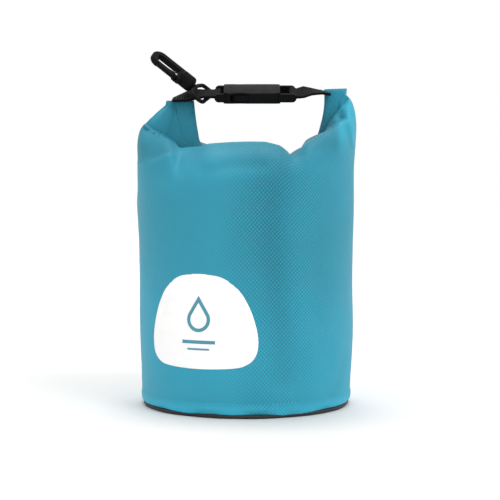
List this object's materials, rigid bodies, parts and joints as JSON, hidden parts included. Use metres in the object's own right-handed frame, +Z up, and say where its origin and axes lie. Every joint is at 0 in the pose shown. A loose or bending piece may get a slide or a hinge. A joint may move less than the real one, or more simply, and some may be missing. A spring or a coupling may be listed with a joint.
{
  "type": "roll-top dry bag",
  "caption": "Waterproof cylinder bag with a rolled mouth clipped into a carry loop by a side-release buckle, and a swivel hook on its strap.",
  "frame": {"origin": "centre of the round base, on the ground", "axes": "+Z up, +X along the buckle strap towards the plug's side (the bag's right seen from the front), +Y towards the back"},
  "size_m": [0.1722, 0.1715, 0.281],
  "materials": {
    "fabric_teal": "coated ripstop polyester, low sheen",
    "fabric_tape": "clear sealing tape over the seam, inside",
    "base_black": "coated tarpaulin, matt, inside face dark",
    "print_white": "screen-printed ink film, smooth and matt",
    "print_teal": "screen-printed ink film",
    "webbing_black": "woven polypropylene webbing",
    "thread_black": "bonded polyester thread",
    "plastic_black": "moulded acetal, fine satin texture",
    "steel": "plain wire and pin"
  },
  "bodies": {
    "bag": {"base_panel": "base_black", "body_shell": "fabric_teal", "base_seam_band": "fabric_teal", "base_seam_tape": "fabric_tape", "side_seam": "fabric_teal", "side_seam_tape": "fabric_tape", "rolled_mouth": "fabric_teal", "stiffener_strip": "webbing_black", "print_patch": "print_white", "print_mark": "print_teal", "strap_left": "webbing_black", "stitching_left": "thread_black", "buckle_female": "plastic_black"},
    "right_end": {"rolled_end_right": "fabric_teal", "stiffener_end_right": "webbing_black", "strap_right": "webbing_black", "stitching_right": "thread_black", "buckle_male": "plastic_black"},
    "latch_front": {"latch_front": "plastic_black"},
    "latch_rear": {"latch_rear": "plastic_black"},
    "hook_eye": {"hook_eye": "plastic_black"},
    "hook": {"hook_body": "plastic_black", "gate_pin": "steel", "gate_spring": "steel"},
    "gate": {"hook_gate": "plastic_black"}
  },
  "joints": [
    {"name": "buckle_release", "type": "slide", "parent": "bag", "child": "right_end", "axis": [1, 0, 0], "range_m": [0, 0.027], "deforming": ["latch_front", "latch_rear"]},
    {"name": "latch_front_press", "type": "hinge", "parent": "right_end", "child": "latch_front", "pos_m": [0.012, -0.00932, 0.24433], "axis": [0, 0.2756, -0.9613], "range_deg": [0, 12], "stiffness_Nm_per_rad": 0.3, "springref_deg": -1.72},
    {"name": "latch_rear_press", "type": "hinge", "parent": "right_end", "child": "latch_rear", "pos_m": [0.012, 0.00932, 0.24967], "axis": [0, -0.2756, 0.9613], "range_deg": [0, 12], "stiffness_Nm_per_rad": 0.3, "springref_deg": -1.72},
    {"name": "hook_eye_tilt", "type": "hinge", "parent": "bag", "child": "hook_eye", "pos_m": [-0.0346, 0, 0.247], "axis": [0.2588, 0.9285, 0.2662], "range_deg": [0, 60]},
    {"name": "hook_swivel", "type": "hinge", "parent": "hook_eye", "child": "hook", "pos_m": [-0.04054, 0.0003, 0.25173], "axis": [-0.7815, 0.0393, 0.6227], "continuous": true},
    {"name": "gate_open", "type": "hinge", "parent": "hook", "child": "gate", "pos_m": [-0.05661, -0.00356, 0.26039], "axis": [-0.4903, 0.5786, -0.6518], "range_deg": [0, 18], "stiffness_Nm_per_rad": 0.02, "springref_deg": -8.59, "deforming": ["gate_spring"]}
  ]
}
